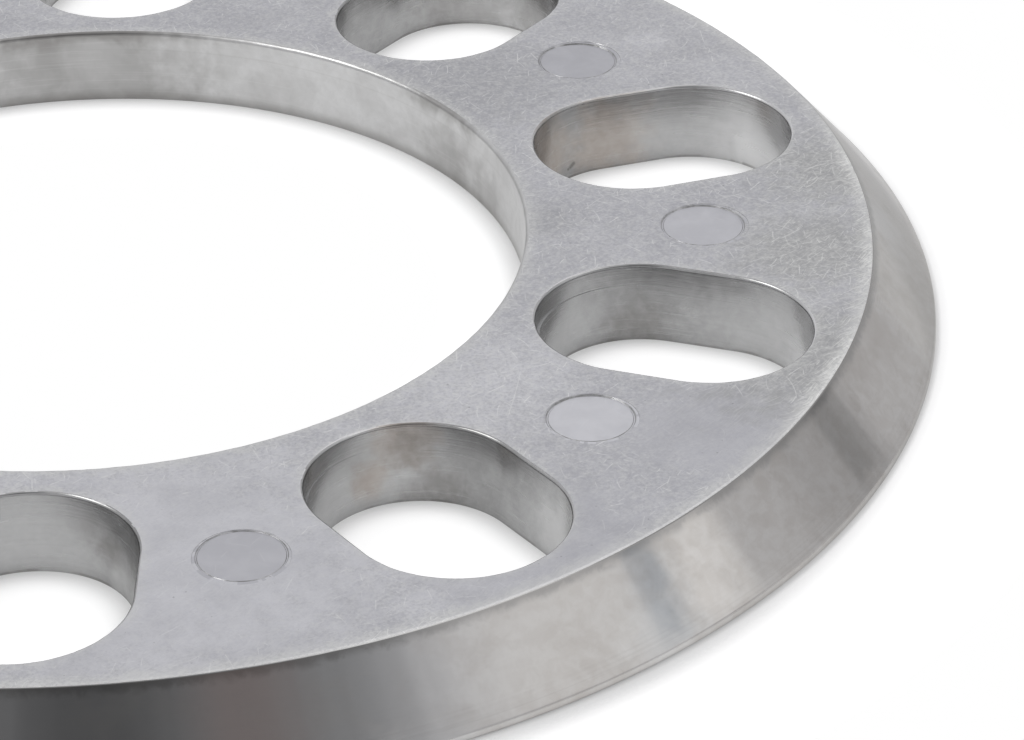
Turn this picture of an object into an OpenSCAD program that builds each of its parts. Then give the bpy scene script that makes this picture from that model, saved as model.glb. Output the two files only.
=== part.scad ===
// Wheel spacer, die-cast in one piece: a flat ring with a bevelled rim and radial
// stud slots. It lies on its hub face, with the wheel face up and one slot on +X.

/* [Ring] */
// Thickness from the hub face to the wheel face
thickness = 7.94; // [6:0.02:12]
// Diameter of the hub bore
bore_d = 86.9; // [75:0.1:90]
// Outer diameter, at the foot of the bevelled rim
base_d = 166.8; // [162:0.2:180]
// Width of the bevelled rim, seen from above
rim_w = 6.4; // [3:0.1:8]
// Height of the upright land at the foot of the rim
land_h = 0.7; // [0.5:0.1:2]
// Radius of the ring's rounded edges
edge_r = 0.5; // [0.2:0.05:0.7]

/* [Stud slots] */
// Number of slots round the ring
slot_count = 10; // [4:2:10]
// Smallest bolt circle, through the slots' inner end centres
small_bolt_circle = 114.3; // [112:0.1:116]
// How far a stud can move along a slot, from one end centre to the other
slot_travel = 6.5; // [0:0.05:7.5]
// Width of a slot
slot_w = 18.6; // [14:0.1:19]
// Height of the straight land at the foot of a slot's wall
slot_land_h = 1.5; // [1:0.1:3]
// Draft of the wall above the land, in degrees
slot_draft = 5.5; // [1:0.1:6]
// Radius of a slot's rounded edge on the wheel face
slot_edge_r = 0.35; // [0.2:0.05:0.9]
// Depth of the parting line in a slot, below the wheel face
parting_depth = 2.1; // [1.5:0.1:4]
// Ledge on the parting line at a slot's inner end
parting_ledge = 0.2; // [0.1:0.05:0.5]

/* [Ejector marks] */
// Diameter of the mark left by an ejector pin
mark_d = 8.1; // [5:0.1:10]
// Diameter of the circle on which the marks lie, between the slots
mark_circle = 121.5; // [116:0.5:126]
// Depth of a mark
mark_depth = 0.15; // [0.1:0.05:0.4]

/* [Hidden] */
$fn = 120;

// How far a cut runs past the faces
overcut = 2;
// Angle at which a rounded edge meets its faces, a little short of tangent
edge_lead = 10;

slot_step = 360 / slot_count;
slot_r = slot_w / 2;
slot_inner = small_bolt_circle / 2;
slot_outer = slot_inner + slot_travel;
parting_z = thickness - parting_depth;

// A slot's drafted wall, as far out as it comes at a height, and its edge's arc
function wall_r(z) = slot_r + (z - slot_land_h) * tan(slot_draft);
round_depth = slot_edge_r * cos(edge_lead);
round_z = thickness - round_depth;
round_x = wall_r(round_z) + round_depth / cos(slot_draft);

// Section of the ring, as radius and height, with the radius of each corner
corners = [
    [bore_d / 2, 0],
    [base_d / 2, 0],
    [base_d / 2, land_h],
    [base_d / 2 - rim_w, thickness],
    [bore_d / 2, thickness]
];
land_r = min(edge_r, land_h * 0.7);
corner_r = [edge_r, land_r, land_r, edge_r, edge_r];
last_corner = len(corners) - 1;

// Direction from a corner to the one before it (step -1) or after it (step 1)
function side(i, step) =
    let (run = corners[(i + step + len(corners)) % len(corners)] - corners[i])
    run / norm(run);
function inward(i) =
    let (middle = side(i, -1) + side(i, 1))
    middle / norm(middle);
function half_angle(i) = acos(side(i, 1) * inward(i));
function lead(i) = min(edge_lead, (90 - half_angle(i)) / 2);
function arc_depth(i) = corner_r[i] * cos(lead(i)) / sin(half_angle(i));

// What the rounding takes off a corner: all that lies outside the corner's arc
module corner_waste(i) {
    waste_from = corner_r[i] * sin(half_angle(i) + lead(i) / 2);
    translate(corners[i] + inward(i) * arc_depth(i))
        rotate(atan2(-inward(i).y, -inward(i).x))
            difference() {
                translate([waste_from, -overcut])
                    square([overcut, 2 * overcut]);
                circle(r = corner_r[i]);
            }
}

module ring_section() {
    difference() {
        polygon(corners);
        for (i = [0 : last_corner])
            corner_waste(i);
    }
}

// Half section of the slot below the parting line: the land, then the drafted wall
module lower_section() {
    polygon([
        [0, -overcut],
        [slot_r, -overcut],
        [slot_r, slot_land_h],
        [wall_r(parting_z), parting_z],
        [0, parting_z]
    ]);
}

// Half section above it: the same wall, and the rounded edge that it runs out in
module upper_section() {
    polygon([
        [0, parting_z],
        [wall_r(parting_z), parting_z],
        [wall_r(thickness), thickness],
        [wall_r(thickness), thickness + overcut],
        [0, thickness + overcut]
    ]);
    difference() {
        translate([0, round_z])
            square([round_x, round_depth + overcut]);
        translate([round_x, round_z])
            circle(r = slot_edge_r);
    }
}

// Long hole along X with round ends, from a half section of its wall
module obround(from, to) {
    translate([to, 0, 0])
        rotate([0, 0, -90])
            rotate_extrude(angle = 180)
                children();
    translate([from, 0, 0])
        rotate([0, 0, 90])
            rotate_extrude(angle = 180)
                children();
    translate([from, 0, 0])
        rotate([90, 0, 90])
            linear_extrude(to - from) {
                children();
                mirror([1, 0])
                    children();
            }
}

module stud_slot() {
    obround(slot_inner, slot_outer)
        lower_section();
    obround(slot_inner - parting_ledge, slot_outer)
        upper_section();
}

module ejector_mark() {
    translate([mark_circle / 2, 0, thickness - mark_depth])
        cylinder(d = mark_d, h = mark_depth + overcut);
}

module spacer_ring() {
    color([0.7, 0.7, 0.72])
        difference() {
            rotate_extrude()
                ring_section();
            for (i = [0 : slot_count - 1]) {
                rotate([0, 0, i * slot_step])
                    stud_slot();
                rotate([0, 0, (i + 0.5) * slot_step])
                    ejector_mark();
            }
        }
}

spacer_ring();
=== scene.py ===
# Wheel spacer: a die-cast aluminium ring on a white studio table.
import math
import bmesh
import bpy
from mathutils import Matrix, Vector


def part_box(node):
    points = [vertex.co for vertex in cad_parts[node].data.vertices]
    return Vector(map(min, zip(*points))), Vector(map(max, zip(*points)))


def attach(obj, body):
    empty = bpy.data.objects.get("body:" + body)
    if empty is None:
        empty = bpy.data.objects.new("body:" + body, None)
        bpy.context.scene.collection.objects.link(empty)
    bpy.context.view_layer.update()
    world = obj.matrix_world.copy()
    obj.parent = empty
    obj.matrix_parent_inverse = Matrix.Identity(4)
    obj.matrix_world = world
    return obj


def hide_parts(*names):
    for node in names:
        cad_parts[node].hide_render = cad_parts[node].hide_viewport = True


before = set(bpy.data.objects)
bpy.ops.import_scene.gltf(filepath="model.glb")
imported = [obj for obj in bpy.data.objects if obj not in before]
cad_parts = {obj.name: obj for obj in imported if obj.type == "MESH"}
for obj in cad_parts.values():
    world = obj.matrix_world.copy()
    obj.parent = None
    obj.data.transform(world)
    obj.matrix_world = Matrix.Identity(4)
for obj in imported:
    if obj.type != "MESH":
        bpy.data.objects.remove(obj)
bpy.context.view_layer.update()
mm = 0.001
hair = 1e-6  # metres, places closer than this count as one
fullTurn = 2 * math.pi
lowCorner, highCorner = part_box("spacer_ring")
topHeight = highCorner[2]  # the wheel face
outerRadius = (highCorner[0] - lowCorner[0]) / 2
print("frame loaded: ring", round(outerRadius / mm, 2), "mm in radius")


def setMode(mode):
    bpy.ops.object.mode_set(mode=mode)


def deselectAll():
    if bpy.context.object and bpy.context.object.mode != "OBJECT":
        setMode("OBJECT")
    bpy.ops.object.select_all(action="DESELECT")


def pickAll():  # in edit mode
    bpy.ops.mesh.select_all(action="SELECT")


def pickVerts(test):  # in edit mode, by place
    mesh = bmesh.from_edit_mesh(bpy.context.object.data)
    mesh.select_mode = {"VERT"}
    for vert in mesh.verts:
        vert.select_set(bool(test(vert.co)))
    mesh.select_flush_mode()
    bmesh.update_edit_mesh(bpy.context.object.data)


def applyModifier(piece, kind, **settings):
    bpy.context.view_layer.objects.active = piece
    modifier = piece.modifiers.new(kind.lower(), kind)
    for key, value in settings.items():
        setattr(modifier, key, value)
    bpy.ops.object.modifier_apply(modifier=modifier.name)


def applyPlace():
    bpy.ops.object.transform_apply(location=True, rotation=True, scale=True)


# Camera, fitted to the photograph's edges
studioCamera = {
    "spot": (-72.62, -362.46, 210.91),  # mm
    "aim": (31.61, -38.87, 7.94),
    "roll": -0.684,  # degrees
    "lens": 151.53,
    "sensorWidth": 36.0,
}


def addCamera(settings):
    deselectAll()
    spot = Vector(settings["spot"]) * mm
    look = Vector(settings["aim"]) * mm - spot
    bpy.ops.object.camera_add(location=spot, rotation=look.to_track_quat("-Z", "Y").to_euler())
    camera = bpy.context.object
    camera.name = "studioCamera"
    camera.rotation_euler.rotate_axis("Z", math.radians(settings["roll"]))
    camera.data.lens = settings["lens"]
    camera.data.sensor_width = settings["sensorWidth"]
    bpy.context.scene.camera = camera


addCamera(studioCamera)
print("camera placed")

# The ring: a section drawn as a plane, cut and bevelled, then spun round the bore
ringSizes = {
    "boreRadius": 43.45,  # mm
    "rimWidth": 6.4,
    "landHeight": 0.7,
    "edgeRadius": 0.5,
    "landRadius": 0.49,
    "footRadius": 0.15,
    "edgeSegments": 6,
    "spinSteps": 720,
    "firstStep": 0.13,  # degrees, keeps the sections clear of the slots' corners
}


def roundCorner(place, radius, segments, opening):  # opening: the angle inside the corner
    corner = Vector((place[0], 0, place[1]))
    pickVerts(lambda co: (co - corner).length < hair)
    bpy.ops.mesh.bevel(offset=radius / math.tan(opening / 2), segments=segments, affect="VERTICES")


def spinLine(steps, centre):  # in edit mode: a closed shell from a line round an upright axis
    pickAll()
    bpy.ops.mesh.spin(steps=steps, angle=fullTurn, center=centre, axis=(0, 0, 1))
    pickAll()
    bpy.ops.mesh.remove_doubles(threshold=hair)


def makeRing(sizes):
    bore, rim = sizes["boreRadius"] * mm, sizes["rimWidth"] * mm
    land, edge = sizes["landHeight"] * mm, sizes["edgeRadius"] * mm
    deselectAll()
    bpy.ops.mesh.primitive_plane_add(size=1)
    ring = bpy.context.object
    ring.name = "spacerCasting"
    ring.rotation_euler.x = math.pi / 2
    ring.scale = (outerRadius - bore, topHeight, 1)
    ring.location = ((outerRadius + bore) / 2, 0, topHeight / 2)
    applyPlace()

    setMode("EDIT")
    pickAll()
    bpy.ops.mesh.bisect(plane_co=(0, 0, land), plane_no=(0, 0, 1))
    pickVerts(lambda co: co.x < bore + hair and abs(co.z - land) < hair)
    bpy.ops.mesh.dissolve_verts()
    pickVerts(lambda co: co.x > outerRadius - hair and co.z > topHeight - hair)
    bpy.ops.transform.translate(value=(-rim, 0, 0))  # leans the rim

    lean = math.atan2(rim, topHeight - land)
    square, steps = math.pi / 2, sizes["edgeSegments"]
    roundCorner((bore, 0), sizes["footRadius"] * mm, steps, square)
    roundCorner((bore, topHeight), edge, steps, square)
    roundCorner((outerRadius - rim, topHeight), edge, steps, square + lean)
    roundCorner((outerRadius, land), sizes["landRadius"] * mm, steps, math.pi - lean)
    roundCorner((outerRadius, 0), sizes["footRadius"] * mm, steps, square)

    pickAll()
    bpy.ops.mesh.delete(type="ONLY_FACE")
    spinLine(sizes["spinSteps"], (0, 0, 0))
    bpy.ops.mesh.normals_make_consistent(inside=False)
    setMode("OBJECT")
    ring.rotation_euler.z = math.radians(sizes["firstStep"])
    applyPlace()
    return ring


ring = makeRing(ringSizes)
print("ring spun:", len(ring.data.polygons), "faces")

# The stud slots: one long hole drawn out of a circle, copied round the ring
slotSizes = {
    "count": 10,
    "innerEnd": 57.15,  # mm, half the small bolt circle
    "outerEnd": 63.65,
    "radius": 9.3,
    "landHeight": 1.5,
    "draft": 5.5,  # degrees, above the land
    "partingDepth": 2.1,  # below the wheel face
    # shifts of the die's upper half, by the slot's angle; each leaves a ledge
    "coverShifts": {-36: (-0.17, 0.02, 0), -72: (-0.09, -0.02, 0)},
    "seam": 0.004,  # all round the parting line
    "neckHeight": 0.02,  # above the line the lower cutter draws in, clear of the upper one's wall
    "neckStep": 0.4,
    "edgeRadius": 0.35,
    "edgeTurn": 88,  # degrees
    "edgeSteps": 6,
    "past": 2,  # how far the cutters run past the faces
    "circleSteps": 112,
}


def copyRound(count, firstAngle):  # in edit mode, all selected
    copies = count - 1
    bpy.ops.mesh.spin(
        steps=copies, dupli=True, angle=fullTurn * copies / count, center=(0, 0, 0), axis=(0, 0, 1)
    )
    pickAll()
    bpy.ops.mesh.normals_make_consistent(inside=False)
    setMode("OBJECT")
    bpy.context.object.rotation_euler.z = firstAngle
    applyPlace()


def shiftCopies(cutter, shifts, count):  # shifts in mm, by the angle at which a copy lies
    setMode("EDIT")
    for angle, shift in shifts.items():
        pickVerts(lambda co: abs(math.degrees(math.atan2(co.y, co.x)) - angle) < 180 / count)
        bpy.ops.transform.translate(value=Vector(shift) * mm)
    setMode("OBJECT")
    return cutter


def makeSlotCutter(name, levels, ends, sizes):  # levels: heights and radii, from the lowest up
    steps, (floor, firstRadius) = sizes["circleSteps"], levels[0]
    deselectAll()
    bpy.ops.mesh.primitive_circle_add(
        vertices=steps, radius=firstRadius, fill_type="NGON",
        location=(0, 0, floor), rotation=(0, 0, math.pi / steps),
    )
    cutter = bpy.context.object
    cutter.name = name
    applyPlace()
    setMode("EDIT")
    pickVerts(lambda co: co.x > 0)
    bpy.ops.transform.translate(value=(ends[1], 0, 0))
    pickVerts(lambda co: co.x < firstRadius)
    bpy.ops.transform.translate(value=(ends[0], 0, 0))
    middle = (ends[0] + ends[1]) / 2
    pickAll()
    for (lowHeight, lowRadius), (height, radius) in zip(levels, levels[1:]):
        bpy.ops.mesh.extrude_region_move(TRANSFORM_OT_translate={"value": (0, 0, height - lowHeight)})
        wider = (radius / lowRadius, radius / lowRadius, 1)
        pickVerts(lambda co: abs(co.z - height) < hair and co.x < middle)
        bpy.ops.transform.resize(value=wider, center_override=(ends[0], 0, height))
        pickVerts(lambda co: abs(co.z - height) < hair and co.x > middle)
        bpy.ops.transform.resize(value=wider, center_override=(ends[1], 0, height))
        pickVerts(lambda co: abs(co.z - height) < hair)
    pickAll()
    copyRound(sizes["count"], 0)
    return cutter


def slotLevels(sizes):
    past, radius, land = sizes["past"] * mm, sizes["radius"] * mm, sizes["landHeight"] * mm
    edge, slope = sizes["edgeRadius"] * mm, math.tan(math.radians(sizes["draft"]))
    parting, edgeFoot = topHeight - sizes["partingDepth"] * mm, topHeight - edge
    waist = radius + (parting - land) * slope
    neck = waist - sizes["neckStep"] * mm
    lower = [(-past, radius), (land, radius), (parting, waist)]
    lower += [(parting + sizes["neckHeight"] * mm, neck), (topHeight + past, neck)]
    waist += sizes["seam"] * mm
    upper = [(parting, waist)]
    for step in range(sizes["edgeSteps"] + 1):
        turn = math.radians(sizes["edgeTurn"]) * step / sizes["edgeSteps"]
        spread = waist + (edgeFoot - parting) * slope + edge * (1 - math.cos(turn))
        upper.append((edgeFoot + edge * math.sin(turn), spread))
    upper.append((topHeight + past, upper[-1][1] + 2 * past))
    return lower, upper


def cutAway(piece, cutter):
    deselectAll()
    piece.select_set(True)
    applyModifier(piece, "BOOLEAN", object=cutter, operation="DIFFERENCE", solver="EXACT")
    bpy.data.objects.remove(cutter)


lowerLevels, upperLevels = slotLevels(slotSizes)
slotEnds = (slotSizes["innerEnd"] * mm, slotSizes["outerEnd"] * mm)
cutAway(ring, makeSlotCutter("slotCore", lowerLevels, slotEnds, slotSizes))
cover = makeSlotCutter("slotCover", upperLevels, slotEnds, slotSizes)
cutAway(ring, shiftCopies(cover, slotSizes["coverShifts"], slotSizes["count"]))
print("slots cut:", len(ring.data.polygons), "faces")

# The ejector pins' marks: shallow round dents between the slots, with a fine groove round each
markSizes = {
    "radius": 4.05,  # mm
    "circleRadius": 60.75,
    "depth": 0.12,
    "grooveDepth": 0.05,  # below the dent's floor
    "grooveWidth": 0.22,
    "grooveFloor": (0.7, 0.3),  # from and to, as shares of the width in from the wall
    "edge": 0.09,
    "dishRadius": 4.3,  # the pin's older seat, off centre
    "dishDepth": 0.03,
    "dishSlope": 0.1,
    "dishShift": (0.16, -0.06),
    "pinShifts": {-90: (0, 0, 0.05)},  # a shallower one
    "surround": 0.35,  # still counts as the mark
    "circleSteps": 72,
}


def drawLine(points):  # a line through the points, vertex by vertex
    deselectAll()
    bpy.ops.mesh.primitive_plane_add(size=mm, location=points[0])
    applyPlace()
    setMode("EDIT")
    pickAll()
    bpy.ops.mesh.merge(type="CENTER")
    for start, end in zip(points, points[1:]):
        bpy.ops.mesh.extrude_vertices_move(TRANSFORM_OT_translate={"value": Vector(end) - Vector(start)})
    return bpy.context.object


def makeMarkCutter(name, profile, centre, sizes, count):
    x, y = centre
    cutter = drawLine([(x + radius * mm, y, topHeight + height * mm) for radius, height in profile])
    cutter.name = name
    spinLine(sizes["circleSteps"], (x, y, 0))
    pickAll()
    copyRound(count, math.pi / count)
    return cutter


def cutMarks(piece, sizes, count):
    wall, groove, edge = sizes["radius"], sizes["grooveWidth"], sizes["edge"]
    floor, bottom = -sizes["depth"], -sizes["depth"] - sizes["grooveDepth"]
    deepFrom, deepTo = (wall - share * groove for share in sizes["grooveFloor"])
    middle = (sizes["circleRadius"] * mm, 0)
    dent = [
        (0, floor), (wall - groove, floor), (deepFrom, bottom), (deepTo, bottom),
        (wall, floor), (wall, -edge), (wall + edge, 0), (wall + 2 * edge, edge), (0, edge),
    ]
    seat, low = sizes["dishRadius"], -sizes["dishDepth"]
    aside = (middle[0] + sizes["dishShift"][0] * mm, sizes["dishShift"][1] * mm)
    dish = [(0, low), (seat, low), (seat + sizes["dishSlope"], edge), (0, edge)]
    cutAway(piece, makeMarkCutter("pinSeats", dish, aside, sizes, count))
    pins = makeMarkCutter("pinMarks", dent, middle, sizes, count)
    cutAway(piece, shiftCopies(pins, sizes["pinShifts"], count))


def closeGaps(piece):  # a cut can drop a narrow wall face
    deselectAll()
    bpy.context.view_layer.objects.active = piece
    setMode("EDIT")
    pickAll()
    bpy.ops.mesh.remove_doubles(threshold=2 * hair)
    bpy.ops.mesh.select_all(action="DESELECT")
    bpy.ops.mesh.select_non_manifold()
    bpy.ops.mesh.fill_holes(sides=12)
    pickAll()
    bpy.ops.mesh.normals_make_consistent(inside=False)
    setMode("OBJECT")


cutMarks(ring, markSizes, slotSizes["count"])
closeGaps(ring)
print("pin marks cut:", len(ring.data.polygons), "faces")

# Hand-worn edges: the rounded edges on the wheel face and the marks' grooves wander a little
edgeWander = {"size": 1.4, "depth": 0.05, "band": (0.7, 0.02)}  # mm, the band below the wheel face
markWander = {"size": 0.7, "depth": 0.05, "band": (0.7, 0.02)}
edgeShading = {"sharp": 32, "weight": 60}  # degrees, and how much large faces count


def nearMark(place):
    pitch = fullTurn / slotSizes["count"]
    angle = math.atan2(place.y, place.x) % pitch - pitch / 2
    radius = math.hypot(place.x, place.y)
    along = radius * math.cos(angle) - markSizes["circleRadius"] * mm
    return math.hypot(along, radius * math.sin(angle)) < (markSizes["radius"] + markSizes["surround"]) * mm


def wornEdges(piece, sizes, onMarks):
    edges = piece.vertex_groups.new(name="wornEdges")
    low, high = (topHeight - depth * mm for depth in sizes["band"])
    picked = [
        vert.index for vert in piece.data.vertices
        if low < vert.co.z < high and nearMark(vert.co) == onMarks
    ]
    edges.add(picked, 1.0, "REPLACE")
    clouds = bpy.data.textures.new("edgeClouds", "CLOUDS")
    clouds.noise_scale = sizes["size"] * mm
    applyModifier(
        piece, "DISPLACE", texture=clouds, texture_coords="LOCAL", vertex_group=edges.name,
        strength=sizes["depth"] * mm, mid_level=0.5,
    )
    piece.vertex_groups.clear()


def shadeEdges(piece, settings):
    deselectAll()
    piece.select_set(True)
    bpy.context.view_layer.objects.active = piece
    bpy.ops.object.shade_smooth_by_angle(angle=math.radians(settings["sharp"]))
    applyModifier(piece, "WEIGHTED_NORMAL", keep_sharp=True, weight=settings["weight"])


wornEdges(ring, edgeWander, False)
wornEdges(ring, markWander, True)
shadeEdges(ring, edgeShading)
print("edges worn and shaded")


# Helpers for the node trees: an input is a plain value or another node's socket
def isSocket(value):
    return isinstance(value, bpy.types.NodeSocket)


def addNode(tree, kind, inputs=None, **settings):
    node = tree.nodes.new(kind)
    node.location = (len(tree.nodes) * 190, 0)
    for key, value in settings.items():
        setattr(node, key, value)
    for key, value in (inputs or {}).items():
        if isSocket(value):
            tree.links.new(value, node.inputs[key])
        else:
            node.inputs[key].default_value = value
    return node


def calc(tree, operation, *values):
    return addNode(tree, "ShaderNodeMath", dict(enumerate(values)), operation=operation).outputs[0]


def vectorCalc(tree, operation, *values):
    keys = (0, "Scale") if operation == "SCALE" else range(len(values))
    node = addNode(tree, "ShaderNodeVectorMath", dict(zip(keys, values)), operation=operation)
    return node.outputs["Value" if operation in ("LENGTH", "DOT_PRODUCT", "DISTANCE") else "Vector"]


def rampTo(tree, value, low, high, toLow=0.0, toHigh=1.0, smooth=True):
    inputs = {"Value": value, "From Min": low, "From Max": high, "To Min": toLow, "To Max": toHigh}
    kind = "SMOOTHSTEP" if smooth else "LINEAR"
    return addNode(tree, "ShaderNodeMapRange", inputs, interpolation_type=kind).outputs["Result"]


def mixColour(tree, factor, first, second, blend="MIX"):
    colours = [colour if isSocket(colour) else (*colour, 1.0) for colour in (first, second)]
    inputs = dict(zip((0, 6, 7), (factor, *colours)))
    return addNode(tree, "ShaderNodeMix", inputs, data_type="RGBA", blend_type=blend).outputs[2]


def paintOver(tree, colour, look, coats):  # each coat: a mask, how much of it shows, a colour of the look
    for mask, share, coat in coats:
        colour = mixColour(tree, calc(tree, "MULTIPLY", mask, share), colour, look[coat])
    return colour


def noiseAt(tree, place, scale, detail=2.0, roughness=0.5, distortion=0.0):
    return addNode(
        tree, "ShaderNodeTexNoise",
        {"Vector": place, "Scale": scale, "Detail": detail, "Roughness": roughness, "Distortion": distortion},
    ).outputs[0]


def splitAxes(tree, place):
    return addNode(tree, "ShaderNodeSeparateXYZ", {0: place}).outputs


def joinAxes(tree, x, y, z):
    return addNode(tree, "ShaderNodeCombineXYZ", {0: x, 1: y, 2: z}).outputs[0]


def turnFlat(tree, place, angle):  # about the upright axis
    inputs = {"Vector": place, "Angle": angle}
    return addNode(tree, "ShaderNodeVectorRotate", inputs, rotation_type="Z_AXIS").outputs[0]


def startGroup(name, inputs, outputs):
    group = bpy.data.node_groups.new(name, "ShaderNodeTree")
    for label, value in inputs.items():
        kind = "NodeSocketVector" if value is None else "NodeSocketFloat"
        socket = group.interface.new_socket(name=label, in_out="INPUT", socket_type=kind)
        if value is not None:
            socket.default_value = value
    for label in outputs:
        group.interface.new_socket(name=label, in_out="OUTPUT", socket_type="NodeSocketFloat")
    return group, group.nodes.new("NodeGroupInput").outputs, group.nodes.new("NodeGroupOutput").inputs


def placeGroup(tree, group, inputs):
    return addNode(tree, "ShaderNodeGroup", inputs, node_tree=group).outputs


# Stray scratches: at most one thin, slightly bent line in each random cell
scratchShape = {
    "lengths": (0.35, 0.15),  # by chance, from the second share of the length up by the first
    "strengths": (0.6, 0.4),  # likewise
    "fadeFrom": 0.5,  # share of a line's reach
}


def makeScratches(shape):
    group, given, out = startGroup(
        "strayScratches",
        {"Place": None, "Cell": 4.0, "Length": 3.0, "Width": 0.06, "Bend": 0.15, "Share": 0.6, "Seed": 0.0},
        ("Mask",),
    )
    shifted = vectorCalc(group, "ADD", given["Place"], joinAxes(group, given["Seed"], given["Seed"], 0.0))
    density = calc(group, "DIVIDE", 1.0, given["Cell"])
    cells = addNode(
        group, "ShaderNodeTexVoronoi", {"Vector": shifted, "Scale": density}, voronoi_dimensions="2D"
    ).outputs
    chance = addNode(group, "ShaderNodeSeparateColor", {0: cells["Color"]}).outputs
    spot = vectorCalc(group, "SUBTRACT", shifted, cells["Position"])
    local = splitAxes(group, turnFlat(group, spot, calc(group, "MULTIPLY", chance[0], fullTurn)))
    curve = calc(group, "MULTIPLY", calc(group, "SUBTRACT", chance[1], 0.5), given["Bend"])
    bow = calc(group, "MULTIPLY", calc(group, "MULTIPLY", local[0], local[0]), curve)
    across = calc(group, "ABSOLUTE", calc(group, "SUBTRACT", local[1], bow))
    along = calc(group, "ABSOLUTE", local[0])
    reach = calc(group, "MULTIPLY", given["Length"], calc(group, "MULTIPLY_ADD", chance[1], *shape["lengths"]))
    thin = rampTo(group, across, 0.0, given["Width"], 1.0, 0.0)
    ends = rampTo(group, along, calc(group, "MULTIPLY", reach, shape["fadeFrom"]), reach, 1.0, 0.0)
    there = calc(group, "LESS_THAN", chance[2], given["Share"])
    line = calc(group, "MULTIPLY", calc(group, "MULTIPLY", thin, ends), there)
    strength = calc(group, "MULTIPLY_ADD", chance[0], *shape["strengths"])
    group.links.new(calc(group, "MULTIPLY", line, strength), out["Mask"])
    return group


# How far a point lies from the slots' edges and the axis, and where along and aside of its slot
def makeSlotReach():
    group, given, out = startGroup("slotReach", {"Place": None}, ("Distance", "Radius", "Along", "Aside"))
    axes = splitAxes(group, given["Place"])
    halfPitch = math.pi / slotSizes["count"]
    angle = calc(group, "ARCTAN2", axes[1], axes[0])
    sector = calc(group, "WRAP", angle, halfPitch, -halfPitch)
    radius = vectorCalc(group, "LENGTH", joinAxes(group, axes[0], axes[1], 0.0))
    along = calc(group, "MULTIPLY", radius, calc(group, "COSINE", sector))
    aside = calc(group, "MULTIPLY", radius, calc(group, "SINE", sector))
    held = calc(group, "MINIMUM", calc(group, "MAXIMUM", along, slotSizes["innerEnd"]), slotSizes["outerEnd"])
    beyond = calc(group, "SUBTRACT", along, held)
    squares = [calc(group, "POWER", side, 2.0) for side in (beyond, aside)]
    span = calc(group, "SQRT", calc(group, "ADD", *squares))
    group.links.new(calc(group, "SUBTRACT", span, slotSizes["radius"]), out["Distance"])
    group.links.new(radius, out["Radius"])
    group.links.new(along, out["Along"])
    group.links.new(calc(group, "ABSOLUTE", aside), out["Aside"])
    return group


# Soft uneven clouds, for stains and cast skin
mottleNoise = (3.0, 0.6, 0.4)  # detail, roughness, distortion


def makeMottle(noise):
    group, given, out = startGroup("castMottle", {"Place": None, "Size": 6.0, "Low": 0.35, "High": 0.65}, ("Mask",))
    wide = noiseAt(group, given["Place"], calc(group, "DIVIDE", 1.0, given["Size"]), *noise)
    group.links.new(rampTo(group, wide, given["Low"], given["High"]), out["Mask"])
    return group


# Fine level lines that run round a wall, from turning or from the die
levelNoise = (3.0, 0.65)  # detail, roughness


def makeLevelLines(noise):
    group, given, out = startGroup("levelLines", {"Place": None, "Pitch": 0.25, "Run": 12.0}, ("Height",))
    flat, steep = (calc(group, "DIVIDE", 1.0, given[key]) for key in ("Run", "Pitch"))
    drawn = vectorCalc(group, "MULTIPLY", given["Place"], joinAxes(group, flat, flat, steep))
    group.links.new(noiseAt(group, drawn, 1.0, *noise), out["Height"])
    return group


# Straight strokes of a rag or a brush, a little bent
strokeShape = {
    "sway": {"Scale": 0.25, "Detail": 1.0},
    "swayReach": 2.5,  # mm
    "noise": (2.0, 0.6),  # detail, roughness
    "shown": (0.46, 0.7),  # of the noise
}


def makeBrush(shape):
    group, given, out = startGroup("brushStrokes", {"Place": None, "Turn": 0.5, "Run": 2.4, "Pitch": 0.13}, ("Mask",))
    sway = addNode(group, "ShaderNodeTexNoise", {"Vector": given["Place"], **shape["sway"]}).outputs["Color"]
    bent = vectorCalc(group, "ADD", given["Place"], vectorCalc(group, "SCALE", sway, shape["swayReach"]))
    along, across = (calc(group, "DIVIDE", 1.0, given[key]) for key in ("Run", "Pitch"))
    turned = turnFlat(group, bent, given["Turn"])
    drawn = vectorCalc(group, "MULTIPLY", turned, joinAxes(group, along, across, 0.0))
    strokes = noiseAt(group, drawn, 1.0, *shape["noise"])
    group.links.new(rampTo(group, strokes, *shape["shown"]), out["Mask"])
    return group


# A round zone at a place on the casting, for stains, wear, tone, painted shade and painted reflections
zoneFade = (0.7, 1.5)  # from and to, as shares of its reach


def makeRoundZone(fade):
    group, given, out = startGroup(
        "roundZone", {"Place": None, "Centre": None, "Reach": 6.0, "Noise": 0.5}, ("Mask",)
    )
    away = vectorCalc(group, "DISTANCE", given["Place"], given["Centre"])
    ragged = calc(group, "MULTIPLY_ADD", given["Noise"], given["Reach"], away)
    full, gone = (calc(group, "MULTIPLY", given["Reach"], share) for share in fade)
    group.links.new(rampTo(group, ragged, full, gone, 1.0, 0.0), out["Mask"])
    return group


strayScratches = makeScratches(scratchShape)
slotReach = makeSlotReach()
castMottle = makeMottle(mottleNoise)
levelLines = makeLevelLines(levelNoise)
brushStrokes = makeBrush(strokeShape)
roundZone = makeRoundZone(zoneFade)
print("node groups built")


def scratchesAt(tree, place, cell, length, width, bend, share, seed):
    return placeGroup(tree, strayScratches, {
        "Place": place, "Cell": cell, "Length": length, "Width": width, "Bend": bend, "Share": share, "Seed": seed,
    })["Mask"]


def mottleAt(tree, place, size, low, high):
    return placeGroup(tree, castMottle, {"Place": place, "Size": size, "Low": low, "High": high})["Mask"]


def linesAt(tree, place, pitch, run):
    return placeGroup(tree, levelLines, {"Place": place, "Pitch": pitch, "Run": run})["Height"]


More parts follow.
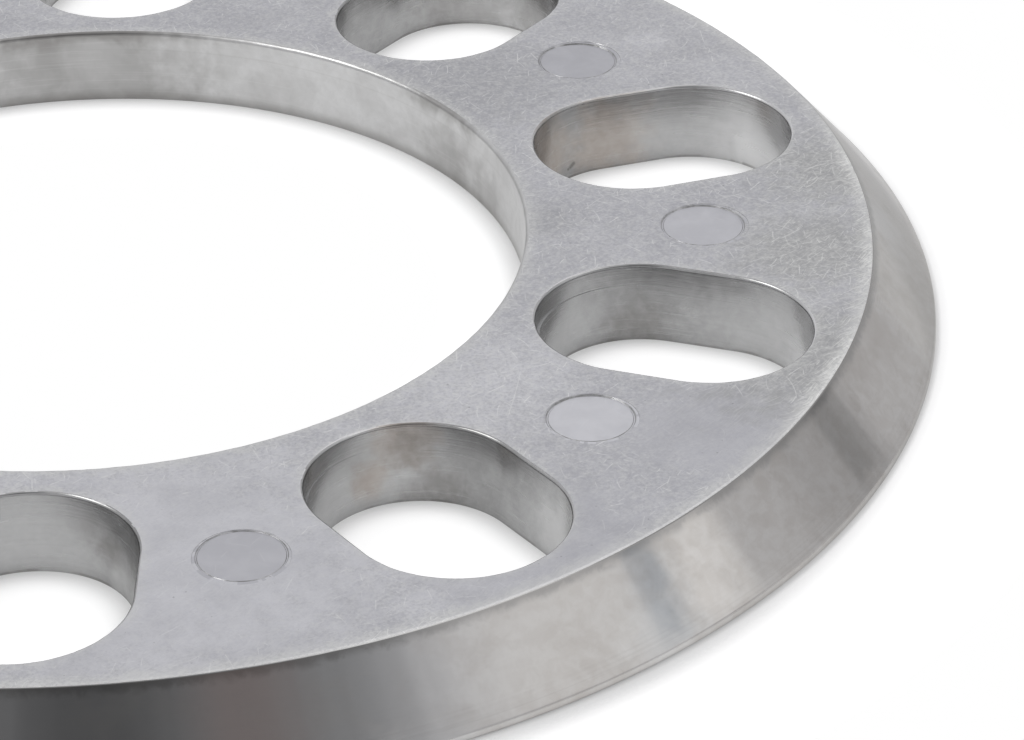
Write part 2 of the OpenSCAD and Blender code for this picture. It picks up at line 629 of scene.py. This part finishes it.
def zonesAt(tree, place, zones):  # one mask for several ragged round zones, some with a share of their own
    mask, noise = None, noiseAt(tree, place, 0.6, 3.0)
    for centre, size, *share in zones:
        zone = placeGroup(tree, roundZone, {"Place": place, "Centre": centre, "Reach": size, "Noise": noise})["Mask"]
        zone = calc(tree, "MULTIPLY", zone, *share) if share else zone
        mask = zone if mask is None else calc(tree, "MAXIMUM", mask, zone)
    return mask


def startMetal(name):
    material = bpy.data.materials.new(name)
    material.use_nodes = True
    tree = material.node_tree
    tree.nodes.clear()
    coordinates = addNode(tree, "ShaderNodeTexCoord").outputs["Object"]
    place = vectorCalc(tree, "SCALE", coordinates, 1 / mm)  # in millimetres
    shader = addNode(tree, "ShaderNodeBsdfPrincipled", {"Metallic": 1.0})
    output = addNode(tree, "ShaderNodeOutputMaterial", {"Surface": shader.outputs[0]})
    output.location.x += 3000
    return material, tree, place, shader


def unevenRoughness(tree, look, noise):  # to either side of the look's own
    spread = look["roughnessSpread"]
    return calc(tree, "MULTIPLY_ADD", noise, spread, look["roughness"] - spread / 2)


def finishMetal(tree, shader, colour, roughness, height, depth):
    bump = addNode(tree, "ShaderNodeBump", {"Height": height, "Distance": depth * mm, "Strength": 1.0})
    tree.links.new(colour, shader.inputs["Base Color"])
    tree.links.new(roughness, shader.inputs["Roughness"])
    tree.links.new(bump.outputs[0], shader.inputs["Normal"])


# In the looks below, sizes are in mm. A zone is a centre, a reach and, for some, a share of its own.
# Clouds are a size and the part of the noise that shows, lines a pitch and a run. Scratches are
# a cell, a length, a width, a bend, a share and a seed.

# The wheel face: grey cast skin, scuffed by handling, worn brighter along its edges
wheelFaceLook = {
    "skin": (0.455, 0.455, 0.487),
    "pale": (0.62, 0.62, 0.652),
    "dark": (0.405, 0.405, 0.43),
    "scuffed": (0.36, 0.36, 0.355),
    "worn": (0.67, 0.67, 0.65),
    "scratch": (0.95, 0.95, 0.93),
    "pit": (0.26, 0.26, 0.27),
    "roughness": 0.45,
    "roughnessSpread": 0.14,
    "scuffGloss": -0.08,  # change of roughness
    "grainSize": 0.3,
    "bumpDepth": 0.02,
    "carved": {"lines": -0.9, "pits": -1.5},  # depths, as shares of the grain's height
    "clouds": (6.0, 0.3, 0.7),
    "patches": (0.8, 0.35, 0.7),
    "paleZones": (
        ((-6, -58, 7.9), 34.0), ((28, -40, 7.9), 14.0), ((12, -73, 7.9), 5.0), ((66, 21, 7.9), 3.5),
    ),
    "darkZones": (((45, 18, 7.9), 16.0), ((44, -13, 7.9), 5.0)),
    "scuffZones": (
        ((66, -27, 7.9), 12.0), ((74, -12, 7.9), 11.0), ((58, -46, 7.9), 16.0), ((60, -4, 7.9), 9.0),
    ),
    "hairZones": (((67, -30, 7.9), 11.0), ((74, -14, 7.9), 12.0), ((59, -8, 7.9), 10.0)),
    "calmZones": (((46, -55, 7.9), 13.0), ((24, -68, 7.9), 18.0), ((-6, -62, 7.9), 28.0)),
    "calmest": 0.35,  # share of handling left in a calm zone
    "strokeTurn": -30.0,  # degrees
    # each layer of scratches, and its strength; the deepest last
    "scratches": (
        (0.9, 1.7, 0.07, 0.8, 0.55, 3.1, 0.45),
        (1.0, 1.9, 0.075, 0.7, 0.55, 17.3, 0.5),
        (1.6, 3.2, 0.075, 0.4, 0.7, 43.7, 0.55),
        (3.4, 6.0, 0.08, 0.16, 0.45, 29.3, 0.5),
        (9.0, 14.0, 0.08, 0.03, 0.3, 57.9, 0.35),
        (1.9, 4.0, 0.08, 0.3, 0.75, 71.1, 0.6),
    ),
    "scratchShares": {"haired": 0.75, "handled": 0.28},
}


def makeWheelFace(look):
    material, tree, place, shader = startMetal("wheelFaceSkin")
    reach = placeGroup(tree, slotReach, {"Place": place})
    clouds, patches = (mottleAt(tree, place, *look[key]) for key in ("clouds", "patches"))
    grain = noiseAt(tree, place, 1 / look["grainSize"], 2.0, 0.7)
    pits = rampTo(tree, noiseAt(tree, place, 2.3, 1.0), 0.76, 0.84)
    pale, dark, scuffed, haired, calm = (
        zonesAt(tree, place, look[kind + "Zones"]) for kind in ("pale", "dark", "scuff", "hair", "calm")
    )
    handled = rampTo(tree, calm, 0.0, 1.0, 1.0, look["calmest"])
    strokes = placeGroup(tree, brushStrokes, {"Place": place, "Turn": math.radians(look["strokeTurn"])})["Mask"]

    # Wear reaches in from the bore, the rim and the slots, with a ragged border
    fromBore = calc(tree, "SUBTRACT", reach["Radius"], ringSizes["boreRadius"])
    fromRim = calc(tree, "SUBTRACT", outerRadius / mm - ringSizes["rimWidth"], reach["Radius"])
    nearest = calc(tree, "MINIMUM", calc(tree, "MINIMUM", fromBore, fromRim), reach["Distance"])
    ragged = calc(tree, "MULTIPLY_ADD", noiseAt(tree, place, 0.7, 4.0, 0.7), -3.0, nearest)
    wear = rampTo(tree, ragged, -1.5, 0.5, 1.0, 0.0)
    uneven = calc(tree, "MULTIPLY_ADD", noiseAt(tree, place, 0.5, 3.0), 1.8, fromRim)
    border = rampTo(tree, calc(tree, "MULTIPLY_ADD", strokes, -1.1, uneven), 0.1, 2.2, 1.0, 0.0)
    border = calc(tree, "MULTIPLY", border, calc(tree, "MULTIPLY_ADD", scuffed, 0.85, 0.15))

    scuffs, shares = None, look["scratchShares"]
    everywhere = calc(tree, "MULTIPLY", handled, shares["handled"])
    density = calc(tree, "MULTIPLY_ADD", haired, shares["haired"], everywhere)
    for *shape, share, seed, strength in look["scratches"]:
        lines = scratchesAt(tree, place, *shape, calc(tree, "MULTIPLY", density, share), seed)
        lines = calc(tree, "MULTIPLY", lines, strength)
        scuffs = lines if scuffs is None else calc(tree, "MAXIMUM", scuffs, lines)

    tone = calc(tree, "MULTIPLY_ADD", pale, 0.65, calc(tree, "MULTIPLY", clouds, 0.42))
    colour = paintOver(tree, mixColour(tree, tone, look["skin"], look["pale"]), look, (
        (dark, 0.95, "dark"),
        (scuffed, 0.7, "scuffed"),
        (patches, calc(tree, "MULTIPLY", handled, 0.3), "worn"),
        (wear, 0.52, "worn"),
        (border, 0.6, "scratch"),
        (strokes, calc(tree, "MULTIPLY_ADD", scuffed, 0.16, 0.07), "scratch"),
        (rampTo(tree, grain, 0.4, 0.7), calc(tree, "MULTIPLY", handled, 0.2), "scratch"),
        (rampTo(tree, grain, 0.5, 0.3), calc(tree, "MULTIPLY", handled, 0.35), "dark"),
        (scuffs, calc(tree, "MULTIPLY", handled, 0.85), "scratch"),
        (pits, 0.6, "pit"),
    ))
    roughness = calc(tree, "MULTIPLY_ADD", scuffs, look["scuffGloss"], unevenRoughness(tree, look, grain))
    height = calc(tree, "MULTIPLY_ADD", lines, look["carved"]["lines"], grain)  # only the last layer is carved
    height = calc(tree, "MULTIPLY_ADD", pits, look["carved"]["pits"], height)
    finishMetal(tree, shader, colour, roughness, height, look["bumpDepth"])
    return material


# The pins' marks: smoother than the skin round them, some paler than others
pinMarkLook = {
    "skin": (0.485, 0.485, 0.515),
    "pale": (0.68, 0.68, 0.71),
    "scratch": (0.85, 0.85, 0.85),
    "clouds": (3.0, 0.3, 0.75),
    "paleMarks": (
        ((35.7, -49.1, 7.9), 12.0), ((57.8, -18.8, 7.9), 9.0, 0.5), ((0, -60.8, 7.9), 9.0, 0.15),
    ),
    "scratches": (2.2, 3.0, 0.07, 0.25, 0.2, 5.5),
    "roughness": 0.4,
    "roughnessSpread": 0.1,
    "bumpDepth": 0.01,
}


def makePinMark(look):
    material, tree, place, shader = startMetal("pinMarkSkin")
    clouds = mottleAt(tree, place, *look["clouds"])
    grain = noiseAt(tree, place, 3.0, 2.0, 0.6)
    scuffs = scratchesAt(tree, place, *look["scratches"])
    pale = zonesAt(tree, place, look["paleMarks"])
    tone = calc(tree, "MULTIPLY_ADD", pale, 0.75, calc(tree, "MULTIPLY", clouds, 0.25))
    colour = mixColour(tree, tone, look["skin"], look["pale"])
    colour = paintOver(tree, colour, look, ((scuffs, 0.2, "scratch"),))
    finishMetal(tree, shader, colour, unevenRoughness(tree, look, grain), grain, look["bumpDepth"])
    return material


# The steep sides of the marks: a little smoother than the skin, with dirt in them
pinEdgeLook = {
    "skin": (0.46, 0.46, 0.47),
    "dull": (0.31, 0.31, 0.31),
    "clouds": (1.2, 0.4, 0.65),
    "roughness": 0.38,
    "dirtRoughness": 0.2,  # added by dirt
    "bumpDepth": 0.005,
}


def makePinEdge(look):
    material, tree, place, shader = startMetal("pinMarkEdge")
    clouds = mottleAt(tree, place, *look["clouds"])
    grain = noiseAt(tree, place, 4.0, 2.0, 0.6)
    colour = mixColour(tree, clouds, look["skin"], look["dull"])
    roughness = calc(tree, "MULTIPLY_ADD", clouds, look["dirtRoughness"], look["roughness"])
    finishMetal(tree, shader, colour, roughness, grain, look["bumpDepth"])
    return material


# The bevelled rim: turned smooth, so it mirrors the room; its colour adds painted reflections and painted shade
rimLook = {
    "skin": (0.59, 0.59, 0.595),
    "warmReflection": (0.575, 0.556, 0.538),  # painted warm reflection, on the right-hand side
    "stainAndShade": (0.48, 0.455, 0.43),
    "pale": (0.69, 0.685, 0.68),
    "line": (0.40, 0.39, 0.38),
    "grimeAndShade": (0.32, 0.315, 0.31),
    "clouds": (5.0, 0.42, 0.75),
    "smears": (1.4, 0.35, 0.7),
    "lines": (0.2, 40.0),
    # the pale zones are painted reflections on the mirroring rim
    "paleZones": (((75, -21, 6.4), 6.0), ((32.5, -74.5, 1.0), 6.0)),
    # painted shade zones: darker places on the mirroring rim
    "paintedShadeZones": (((67, -41, 6), 5.0), ((62.5, -46, 6.6), 4.0)),
    "roughness": 0.09,
    "cloudRoughness": 0.06,  # added in clouds
    "footRoughness": 0.08,  # added near the foot
    "bumpDepth": 0.0015,
}


def makeRim(look):
    material, tree, place, shader = startMetal("turnedRim")
    clouds, smears = (mottleAt(tree, place, *look[key]) for key in ("clouds", "smears"))
    pale, dull = (zonesAt(tree, place, look[key]) for key in ("paleZones", "paintedShadeZones"))
    lines = linesAt(tree, place, *look["lines"])
    axes = splitAxes(tree, place)
    # painted warm reflection: warmer towards the right-hand side, where the clouds of stain and the pale smears also
    # show more
    warmReflection = rampTo(tree, axes[0], 5.0, 25.0)
    foot = rampTo(tree, calc(tree, "MULTIPLY_ADD", clouds, -1.6, axes[2]), 0.4, 2.6, 1.0, 0.0)
    colour = paintOver(tree, mixColour(tree, warmReflection, look["skin"], look["warmReflection"]), look, (
        (clouds, calc(tree, "MULTIPLY_ADD", warmReflection, 0.3, 0.25), "stainAndShade"),
        (smears, calc(tree, "MULTIPLY_ADD", warmReflection, 0.25, 0.1), "pale"),
        # painted reflections in the pale zones
        (pale, 0.8, "pale"),
        # painted shade in the zones
        (dull, 0.5, "stainAndShade"),
        (rampTo(tree, lines, 0.45, 0.7), calc(tree, "MULTIPLY_ADD", foot, 0.2, 0.03), "line"),
    ))
    under = rampTo(tree, calc(tree, "MULTIPLY_ADD", smears, 0.3, axes[2]), 7.1, 7.9, 0.0, 0.75)
    colour = mixColour(tree, under, colour, look["grimeAndShade"])  # painted shade under the upper edge
    roughness = calc(tree, "MULTIPLY_ADD", clouds, look["cloudRoughness"], look["roughness"])
    roughness = calc(tree, "MULTIPLY_ADD", foot, look["footRoughness"], roughness)
    finishMetal(tree, shader, colour, roughness, lines, look["bumpDepth"])
    return material


# The bore: a drawn wall with level lines, a faint parting line, and painted shade under its upper edge and along its
# foot
boreLook = {
    "skin": (0.66, 0.66, 0.66),
    "dull": (0.38, 0.375, 0.37),
    "line": (0.72, 0.72, 0.72),
    "grimeAndShade": (0.25, 0.24, 0.23),
    "clouds": (5.0, 0.32, 0.72),
    "patches": (0.8, 0.3, 0.75),
    "lines": (0.3, 14.0),
    "paintedShadeZones": (((10, 42, 4), 18.0), ((41.7, 12.3, 2.2), 6.0), ((43.2, 5, 1.6), 5.0, 0.8)),
    "underEdgeShadeZones": (((12, 41.5, 7.6), 16.0), ((42, 14, 7.6), 8.0)),
    "partingHeight": 5.9,
    "partingCarved": -0.5,  # as a share of the lines' height
    "roughness": 0.32,
    "roughnessSpread": 0.14,
    "bumpDepth": 0.008,
}


def makeBore(look):
    material, tree, place, shader = startMetal("boreWall")
    clouds, patches = (mottleAt(tree, place, *look[key]) for key in ("clouds", "patches"))
    dull, grimeAndShade = (zonesAt(tree, place, look[key]) for key in ("paintedShadeZones", "underEdgeShadeZones"))
    lines = linesAt(tree, place, *look["lines"])
    height = splitAxes(tree, place)[2]
    away = calc(tree, "ABSOLUTE", calc(tree, "SUBTRACT", height, look["partingHeight"]))
    parting = rampTo(tree, away, 0.04, 0.12, 1.0, 0.0)
    # darker in clouds of stain, and in the zones, which are painted shade
    dull = calc(tree, "MULTIPLY_ADD", dull, 0.65, calc(tree, "MULTIPLY", clouds, 0.35))
    under = rampTo(tree, calc(tree, "MULTIPLY_ADD", clouds, 1.0, height), 6.4, 8.2)
    colour = paintOver(tree, mixColour(tree, dull, look["skin"], look["dull"]), look, (
        (rampTo(tree, lines, 0.5, 0.75), 0.25, "line"),
        (patches, 0.16, "dull"),
        (parting, 0.08, "grimeAndShade"),
        # painted shade under the upper edge
        (calc(tree, "MULTIPLY", grimeAndShade, under), 0.6, "grimeAndShade"),
    ))
    colour = mixColour(tree, rampTo(tree, height, 0.1, 1.5, 0.5, 0.0), colour, look["grimeAndShade"])  # painted shade along the foot, where the wall meets the table
    carved = calc(tree, "MULTIPLY_ADD", parting, look["partingCarved"], lines)
    finishMetal(tree, shader, colour, unevenRoughness(tree, look, lines), carved, look["bumpDepth"])
    return material


# The slots' walls: die-cast, with painted shade towards the inner end and along the straight sides, faint drag lines
# and brown stains
slotLook = {
    "skin": (0.69, 0.69, 0.695),
    "dull": (0.35, 0.35, 0.35),
    "brown": (0.43, 0.38, 0.34),
    "line": (0.74, 0.74, 0.74),
    "grimeAndShade": (0.20, 0.19, 0.18),
    "clouds": (3.0, 0.3, 0.72),
    "patches": (0.9, 0.3, 0.75),
    "lines": (0.3, 7.0),
    "stains": (((51, 6, 4), 6.0), ((58, 10, 3.5), 7.0), ((19.5, -44.5, 6.5), 4.5), ((16, -44.5, 3), 3.0)),
    # painted shade zones: darker places on the walls
    "paintedShadeZones": (
        ((49, -24.7, 1.6), 4.5), ((22, -46, 1.0), 4.5), ((19.9, -44.9, 5.6), 3.5), ((15.1, -45, 5), 3.0, 0.4),
        ((54, 46, 2), 9.0), ((60.3, 41, 3), 5.0), ((-9.2, -49.9, 3.8), 2.6), ((-10.5, -47.9, 4.9), 2.5, 0.5),
    ),
    # the pale zones are painted reflections on the walls
    "paleZones": (
        ((29.5, -59.5, 3), 4.5, 0.7), ((71.5, 4.7, 1.6), 2.5), ((26.6, -50.6, 5.1), 3.0, 0.35),
        ((62.5, 9.6, 4.1), 4.0, 0.3), ((-8.8, -51.4, 1.4), 2.5, 0.4),
    ),
    "grimeSpots": (
        ((53.85, 8.62, 1.5), 0.34), ((53.65, 8.56, 1.36), 0.36), ((53.45, 8.5, 1.22), 0.34),
        ((53.2, 8.4, 1.1), 0.3), ((40.4, -24.7, 5.6), 0.35),
    ),
    "grimeCarved": -3.0,  # as a share of the lines' height
    "roughness": 0.25,
    "roughnessSpread": 0.16,
    "bumpDepth": 0.006,
}


def makeSlotWall(look):
    material, tree, place, shader = startMetal("slotWall")
    reach = placeGroup(tree, slotReach, {"Place": place})
    clouds, patches = (mottleAt(tree, place, *look[key]) for key in ("clouds", "patches"))
    stains, dull, pale, grimeAndShade = (
        zonesAt(tree, place, look[key]) for key in ("stains", "paintedShadeZones", "paleZones", "grimeSpots")
    )
    lines = linesAt(tree, place, *look["lines"])
    # painted shade: darker towards the inner end and along the straight sides, lightest at the outer end
    inner = rampTo(tree, calc(tree, "MULTIPLY_ADD", clouds, 6.0, reach["Along"]), 52.0, 74.0, 1.0, 0.0)
    sides = rampTo(tree, calc(tree, "MULTIPLY_ADD", clouds, 2.0, reach["Aside"]), 5.0, 10.5)
    tone = calc(tree, "MULTIPLY_ADD", inner, 0.6, calc(tree, "MULTIPLY", sides, 0.52))
    fromFoot = calc(tree, "MULTIPLY_ADD", clouds, -0.15, splitAxes(tree, place)[2])
    colour = paintOver(tree, mixColour(tree, tone, look["skin"], look["dull"]), look, (
        (stains, 0.75, "brown"),
        # painted shade in the zones
        (dull, 0.5, "grimeAndShade"),
        (rampTo(tree, lines, 0.5, 0.78), 0.16, "line"),
        (rampTo(tree, lines, 0.5, 0.2), 0.12, "grimeAndShade"),
        (patches, 0.12, "line"),
        # painted reflections in the pale zones
        (pale, 0.6, "line"),
        # painted shade along the foot, where the wall meets the table
        (rampTo(tree, fromFoot, 0.05, 0.25, 0.45, 0.0), rampTo(tree, clouds, 0.1, 0.8, 0.3, 1.0), "grimeAndShade"),
        (grimeAndShade, 0.85, "grimeAndShade"),
    ))
    height = calc(tree, "MULTIPLY_ADD", grimeAndShade, look["grimeCarved"], lines)
    finishMetal(tree, shader, colour, unevenRoughness(tree, look, lines), height, look["bumpDepth"])
    return material


# The hub face: milled flat, plain and clean
hubFaceLook = {
    "skin": (0.56, 0.56, 0.57),
    "pale": (0.64, 0.64, 0.64),
    "scratch": (0.8, 0.8, 0.8),
    "clouds": (10.0, 0.35, 0.7),
    "milling": {"Scale": 5.0, "Detail": 3.0},
    "scratches": (5.0, 7.0, 0.06, 0.1, 0.5, 41.0),
    "roughness": 0.36,
    "roughnessSpread": 0.16,
    "bumpDepth": 0.006,
}


def makeHubFace(look):
    material, tree, place, shader = startMetal("hubFaceSkin")
    clouds = mottleAt(tree, place, *look["clouds"])
    radius = placeGroup(tree, slotReach, {"Place": place})["Radius"]
    rings = addNode(tree, "ShaderNodeTexNoise", {"W": radius, **look["milling"]}, noise_dimensions="1D").outputs[0]
    scuffs = scratchesAt(tree, place, *look["scratches"])
    colour = mixColour(tree, clouds, look["skin"], look["pale"])
    colour = paintOver(tree, colour, look, ((scuffs, 0.5, "scratch"),))
    finishMetal(tree, shader, colour, unevenRoughness(tree, look, rings), rings, look["bumpDepth"])
    return material


finishes = {
    "wheelFace": makeWheelFace(wheelFaceLook),
    "pinMark": makePinMark(pinMarkLook),
    "rim": makeRim(rimLook),
    "bore": makeBore(boreLook),
    "slotWall": makeSlotWall(slotLook),
    "hubFace": makeHubFace(hubFaceLook),
    "pinEdge": makePinEdge(pinEdgeLook),
}
# How a face's finish is told: how far up its normal looks, and depths and widths in mm
finishBounds = {
    "down": -0.7,
    "level": 0.9,
    "rimSkin": 0.84,  # the skin runs over the rim's upper edge
    "footHeight": 0.01,
    "skinDepth": 0.03,
    "markDepth": 0.3,
    "edgeWidth": 0.6,
}


def finishOf(face, bounds):  # by the face's place
    radius, up = math.hypot(face.center.x, face.center.y), face.normal.z
    depth = topHeight - face.center.z
    if up < bounds["down"] and face.center.z < bounds["footHeight"] * mm:
        return "hubFace"
    if up > bounds["level"] and depth < bounds["skinDepth"] * mm:
        return "wheelFace"
    if nearMark(face.center) and depth < bounds["markDepth"] * mm:
        return "pinMark" if up > bounds["level"] else "pinEdge"
    if radius > outerRadius - (ringSizes["rimWidth"] + bounds["edgeWidth"]) * mm:
        return "wheelFace" if up > bounds["rimSkin"] else "rim"
    if radius < (ringSizes["boreRadius"] + bounds["edgeWidth"]) * mm:
        return "bore"
    return "slotWall"


for material in finishes.values():
    ring.data.materials.append(material)
finishOrder = list(finishes)
for face in ring.data.polygons:
    face.material_index = finishOrder.index(finishOf(face, finishBounds))
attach(ring, "root")
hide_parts("spacer_ring")
print("finishes given")

# The studio: a white table, and soft boxes in a grey room
studioRoom = {
    "room": (0.62, 0.62, 0.63),
    # azimuth and elevation in degrees, half width, softness, strength, tint
    "boxes": (
        (-34, 36, 7, 14, 0.233, (1.0, 0.98, 0.95)),
        (-15.5, 28, 2.5, 5.5, 0.35, (1.0, 0.98, 0.95)),
        (-192, 50, 9, 8, 3.2, (1.0, 1.0, 0.98)),
        (-28, 62, 8, 12, 0.9, (1.0, 1.0, 1.0)),
        (72, 31, 20, 30, 0.15, (1.0, 1.0, 1.03)),
        (35, 58, 9, 14, 0.7, (1.0, 1.0, 1.0)),
    ),
    # dark cards, likewise: how much light each takes away, and the colour that it leaves
    "cards": (
        (-104.9, 48, 2.3, 30.3, 0.82, (0.0, 0.0, 0.0)),
        (-71.2, 46, 4.3, 11.6, 0.46, (0.0, 0.0, 0.0)),
        (-81, 47, 2, 6, 0.25, (0.34, 0.22, 0.19)),
        (5.5, 17, 1, 9, 0.20, (0.0, 0.0, 0.0)),
        (12.0, 13, 1.8, 3.4, 0.42, (0.0, 0.0, 0.0)),
        (-21.5, 31, 1.6, 2.0, 0.85, (0.44, 0.48, 0.53)),
    ),
}


def aimOf(azimuth, elevation):
    turn, rise = math.radians(azimuth), math.radians(elevation)
    return (math.cos(turn) * math.cos(rise), math.sin(turn) * math.cos(rise), math.sin(rise))


def lightRoom(settings):
    world = bpy.data.worlds.new("studioRoom")
    bpy.context.scene.world = world
    world.use_nodes = True
    tree = world.node_tree
    tree.nodes.clear()
    look = addNode(tree, "ShaderNodeTexCoord").outputs["Generated"]

    def patch(azimuth, elevation, half, soft, share):
        away = calc(tree, "ARCCOSINE", vectorCalc(tree, "DOT_PRODUCT", look, aimOf(azimuth, elevation)))
        return rampTo(tree, away, math.radians(half), math.radians(half + soft), share, 0.0)

    light = settings["room"]
    for *shape, strength, tint in settings["boxes"]:
        light = mixColour(tree, patch(*shape, 1.0), light, Vector(tint) * strength, "ADD")
    for *shape, share, colour in settings["cards"]:
        light = mixColour(tree, patch(*shape, share), light, colour)
    background = addNode(tree, "ShaderNodeBackground", {"Color": light, "Strength": 1.0})
    addNode(tree, "ShaderNodeOutputWorld", {"Surface": background.outputs[0]})


table = {
    "radius": 3.0,  # metres
    "tuck": 0.3,  # mm, how far it runs in under the casting, whose hub face stays open to view
    "circleSteps": 256,
    "cloth": (0.62, 0.62, 0.62),
    "glow": 0.66,  # keeps the table white to the camera
    "towards": (-0.309, -0.951, 0.0),  # the front
    # places, from and to, as shares of the casting's radius
    "shaded": (0.42, 1.2),  # where shadow can fall; plain white to the camera elsewhere
    "outside": (0.97, 1.0),
    "front": (0.3, 0.8),
    "near": (1.015, 1.04),
    "far": (1.15, 1.5),
    # threes: inside the ring, what is added outside, and what is added in front
    "mirrored": (0.40, -0.20, 0.18),  # the glow as the metal sees it
    "mirroredAway": (-0.16, 0.11),  # what is added near the casting, and farther off
    "mirroredShade": (0.3, 0.85, 0.5, 1.0),
    # the shadow at the casting's foot, in threes
    "reach": (3.3, 0.7, 0.4),  # mm
    "dark": (0.53, 0.13, 0.20),
    "clear": (0.94, 0.06, -0.02),
    "least": (0.38, 0.0, -0.18),
    "shadeSamples": 8,
}


def makeTable(settings):  # a sheet round the casting, a disc in its bore and a floor in each slot
    tuck, steps = settings["tuck"] * mm, settings["circleSteps"]
    slotFloors = makeSlotCutter("slotFloors", [(0, slotSizes["radius"] * mm + tuck)], slotEnds, slotSizes)
    deselectAll()
    rimFoot = outerRadius - tuck
    wider = settings["radius"] / rimFoot
    bpy.ops.mesh.primitive_circle_add(vertices=steps, radius=rimFoot)
    floor = bpy.context.object
    floor.name = "studioTable"
    setMode("EDIT")
    pickAll()
    bpy.ops.mesh.extrude_edges_move(TRANSFORM_OT_translate={"value": (0, 0, 0)})
    bpy.ops.transform.resize(value=(wider, wider, 1))
    boreFoot = ringSizes["boreRadius"] * mm + tuck
    bpy.ops.mesh.primitive_circle_add(vertices=steps, radius=boreFoot, fill_type="NGON")
    setMode("OBJECT")
    slotFloors.select_set(True)
    bpy.ops.object.join()
    return floor


def makeTableCloth(settings):
    material = bpy.data.materials.new("whiteTable")
    material.use_nodes = True
    tree = material.node_tree
    tree.nodes.clear()
    place = addNode(tree, "ShaderNodeTexCoord").outputs["Object"]
    fromAxis = calc(tree, "DIVIDE", vectorCalc(tree, "LENGTH", place), outerRadius)
    outside = rampTo(tree, fromAxis, *settings["outside"])
    forward = calc(tree, "DIVIDE", vectorCalc(tree, "DOT_PRODUCT", place, settings["towards"]), outerRadius)
    front = calc(tree, "MULTIPLY", outside, rampTo(tree, forward, *settings["front"]))

    def spread(inside, added, addedInFront):
        return calc(tree, "MULTIPLY_ADD", front, addedInFront, calc(tree, "MULTIPLY_ADD", outside, added, inside))

    mirrored = spread(*settings["mirrored"])
    for band, added in zip(("near", "far"), settings["mirroredAway"]):
        mirrored = calc(tree, "ADD", mirrored, rampTo(tree, fromAxis, *settings[band], 0.0, added))
    distance = calc(tree, "MULTIPLY", spread(*settings["reach"]), mm)
    shade = addNode(
        tree, "ShaderNodeAmbientOcclusion", {"Distance": distance}, samples=settings["shadeSamples"]
    ).outputs["AO"]
    rays = addNode(tree, "ShaderNodeLightPath").outputs
    seen = calc(tree, "MAXIMUM", rays["Is Camera Ray"], rays["Is Transmission Ray"])
    dark, clear, least = (spread(*settings[key]) for key in ("dark", "clear", "least"))
    light = rampTo(tree, shade, dark, clear, least, 1.0, smooth=False)
    seen = calc(tree, "MULTIPLY", seen, calc(tree, "MULTIPLY", light, settings["glow"]))
    mirrored = calc(tree, "MULTIPLY", mirrored, rampTo(tree, shade, *settings["mirroredShade"]))
    strength = calc(tree, "MULTIPLY_ADD", rays["Is Glossy Ray"], mirrored, seen)
    cloth = addNode(tree, "ShaderNodeBsdfDiffuse", {"Color": (*settings["cloth"], 1.0)})
    glow = addNode(tree, "ShaderNodeEmission", {"Strength": strength})
    both = addNode(tree, "ShaderNodeAddShader", {0: cloth.outputs[0], 1: glow.outputs[0]})
    low, high = settings["shaded"]
    apart = calc(tree, "ABSOLUTE", calc(tree, "SUBTRACT", fromAxis, (low + high) / 2))
    white = calc(tree, "MULTIPLY", calc(tree, "GREATER_THAN", apart, (high - low) / 2), rays["Is Camera Ray"])
    paper = addNode(tree, "ShaderNodeEmission", {"Strength": 1.0})
    surface = addNode(tree, "ShaderNodeMixShader", {0: white, 1: both.outputs[0], 2: paper.outputs[0]})
    addNode(tree, "ShaderNodeOutputMaterial", {"Surface": surface.outputs[0]})
    return material


lightRoom(studioRoom)
floor = makeTable(table)
floor.data.materials.append(makeTableCloth(table))
bpy.context.scene.view_settings.view_transform = "Standard"
print("studio lit")

deselectAll()
